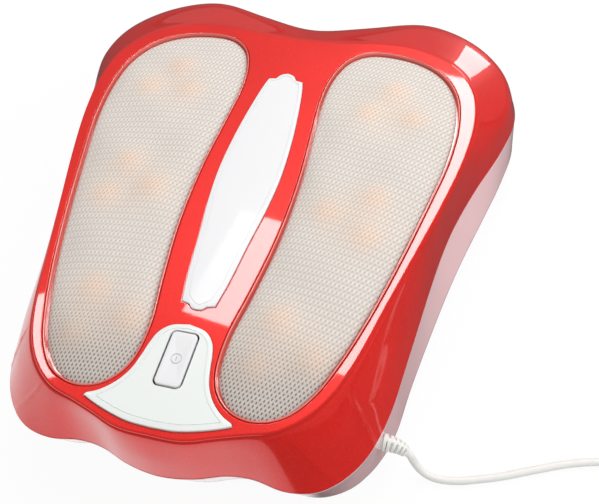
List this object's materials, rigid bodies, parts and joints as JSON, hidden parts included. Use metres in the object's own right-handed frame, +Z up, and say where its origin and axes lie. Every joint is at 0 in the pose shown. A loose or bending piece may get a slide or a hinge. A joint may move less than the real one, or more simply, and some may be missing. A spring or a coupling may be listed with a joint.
{
  "type": "foot massager",
  "caption": "Kneading foot massager with turning heads under two cloth-covered foot windows, a push button and a flexible lead with a plug.",
  "frame": {"origin": "on the floor under the middle of the body, without its lead", "axes": "+Z up, the control panel towards -Y, the toes towards +Y, the lead on the +X side"},
  "size_m": [0.516, 0.404, 0.0834],
  "materials": {
    "shell": "high gloss, pearl red",
    "trim": "gloss, pale red",
    "cloth": "open mesh weave, warm grey",
    "white": "satin white",
    "silver": "satin silver white",
    "chassis": "moulded black",
    "steel": "plated",
    "nylon": "natural nylon",
    "board": "coated board",
    "amber": "translucent amber",
    "lamp": "frosted",
    "rubber": "matt",
    "lead": "satin off-white"
  },
  "bodies": {
    "base": {"bottom_shell": "shell", "top_shell": "shell", "window_bezel_right": "trim", "window_bezel_left": "trim", "mesh_cover_right": "cloth", "mesh_cover_left": "cloth", "name_plate": "white", "control_panel": "silver", "chassis_plate": "chassis", "gearbox": "chassis", "switch_housing": "chassis", "motor": "steel", "motor_strap": "steel", "plug_pin_right": "steel", "plug_pin_left": "steel", "chassis_screw_right_front": "steel", "case_screw_right_front": "steel", "chassis_screw_right_back": "steel", "case_screw_right_back": "steel", "chassis_screw_left_front": "steel", "case_screw_left_front": "steel", "chassis_screw_left_back": "steel", "case_screw_left_back": "steel", "circuit_board": "board", "lamp_right_mid": "lamp", "lamp_right_back": "lamp", "lamp_right_front": "lamp", "lamp_left_mid": "lamp", "lamp_left_back": "lamp", "lamp_left_front": "lamp", "rubber_foot_right_front": "rubber", "rubber_foot_right_back": "rubber", "rubber_foot_left_front": "rubber", "rubber_foot_left_back": "rubber", "strain_relief": "lead", "lead_free": "lead", "lead_coil": "lead", "lead_tail": "lead", "plug_body": "lead"},
    "head_right_mid": {"head_wheel_right_mid": "nylon", "head_knobs_right_mid": "amber"},
    "head_right_back": {"head_wheel_right_back": "nylon", "head_knobs_right_back": "amber"},
    "head_right_front": {"head_wheel_right_front": "nylon", "head_knobs_right_front": "amber"},
    "idler_right_back": {"idler_gear_right_back": "nylon"},
    "idler_right_front": {"idler_gear_right_front": "nylon"},
    "transfer_right": {"transfer_gear_right": "nylon"},
    "head_left_mid": {"head_wheel_left_mid": "nylon", "head_knobs_left_mid": "amber"},
    "head_left_back": {"head_wheel_left_back": "nylon", "head_knobs_left_back": "amber"},
    "head_left_front": {"head_wheel_left_front": "nylon", "head_knobs_left_front": "amber"},
    "idler_left_back": {"idler_gear_left_back": "nylon"},
    "idler_left_front": {"idler_gear_left_front": "nylon"},
    "transfer_left": {"transfer_gear_left": "nylon"},
    "drive": {"drive_gear": "nylon"},
    "button": {"power_button": "white"}
  },
  "joints": [
    {"name": "head_right_mid_spin", "type": "hinge", "parent": "base", "child": "head_right_mid", "pos_m": [0.075, -0.033, 0.048], "axis": [0, 0, 1], "continuous": true},
    {"name": "head_right_back_spin", "type": "hinge", "parent": "base", "child": "head_right_back", "pos_m": [0.08123, 0.06881, 0.048], "axis": [0, 0, 1], "continuous": true},
    {"name": "head_right_front_spin", "type": "hinge", "parent": "base", "child": "head_right_front", "pos_m": [0.05414, -0.13284, 0.048], "axis": [0, 0, 1], "continuous": true},
    {"name": "idler_right_back_spin", "type": "hinge", "parent": "base", "child": "idler_right_back", "pos_m": [0.07811, 0.01791, 0.048], "axis": [0, 0, 1], "continuous": true},
    {"name": "idler_right_front_spin", "type": "hinge", "parent": "base", "child": "idler_right_front", "pos_m": [0.06457, -0.08292, 0.048], "axis": [0, 0, 1], "continuous": true},
    {"name": "transfer_right_spin", "type": "hinge", "parent": "base", "child": "transfer_right", "pos_m": [0.03, -0.033, 0.048], "axis": [0, 0, 1], "continuous": true},
    {"name": "head_left_mid_spin", "type": "hinge", "parent": "base", "child": "head_left_mid", "pos_m": [-0.075, -0.033, 0.048], "axis": [0, 0, 1], "continuous": true},
    {"name": "head_left_back_spin", "type": "hinge", "parent": "base", "child": "head_left_back", "pos_m": [-0.08123, 0.06881, 0.048], "axis": [0, 0, 1], "continuous": true},
    {"name": "head_left_front_spin", "type": "hinge", "parent": "base", "child": "head_left_front", "pos_m": [-0.05414, -0.13284, 0.048], "axis": [0, 0, 1], "continuous": true},
    {"name": "idler_left_back_spin", "type": "hinge", "parent": "base", "child": "idler_left_back", "pos_m": [-0.07811, 0.01791, 0.048], "axis": [0, 0, 1], "continuous": true},
    {"name": "idler_left_front_spin", "type": "hinge", "parent": "base", "child": "idler_left_front", "pos_m": [-0.06457, -0.08292, 0.048], "axis": [0, 0, 1], "continuous": true},
    {"name": "transfer_left_spin", "type": "hinge", "parent": "base", "child": "transfer_left", "pos_m": [-0.03, -0.033, 0.048], "axis": [0, 0, 1], "continuous": true},
    {"name": "drive_spin", "type": "hinge", "parent": "base", "child": "drive", "pos_m": [0, -0.033, 0.048], "axis": [0, 0, 1], "continuous": true},
    {"name": "button_press", "type": "slide", "parent": "base", "child": "button", "axis": [0, 0, -1], "range_m": [0, 0.002], "stiffness_N_per_m": 500, "springref_m": -0.0005}
  ],
  "couplings": [
    {"joint": "head_right_back_spin", "follows": "head_right_mid_spin", "ratio": 1},
    {"joint": "head_right_front_spin", "follows": "head_right_mid_spin", "ratio": 1},
    {"joint": "idler_right_back_spin", "follows": "head_right_mid_spin", "ratio": -1.4286},
    {"joint": "idler_right_front_spin", "follows": "head_right_mid_spin", "ratio": -1.4286},
    {"joint": "transfer_right_spin", "follows": "head_right_mid_spin", "ratio": -2},
    {"joint": "head_left_mid_spin", "follows": "head_right_mid_spin", "ratio": 1},
    {"joint": "head_left_back_spin", "follows": "head_right_mid_spin", "ratio": 1},
    {"joint": "head_left_front_spin", "follows": "head_right_mid_spin", "ratio": 1},
    {"joint": "idler_left_back_spin", "follows": "head_right_mid_spin", "ratio": -1.4286},
    {"joint": "idler_left_front_spin", "follows": "head_right_mid_spin", "ratio": -1.4286},
    {"joint": "transfer_left_spin", "follows": "head_right_mid_spin", "ratio": -2},
    {"joint": "drive_spin", "follows": "head_right_mid_spin", "ratio": 2}
  ]
}
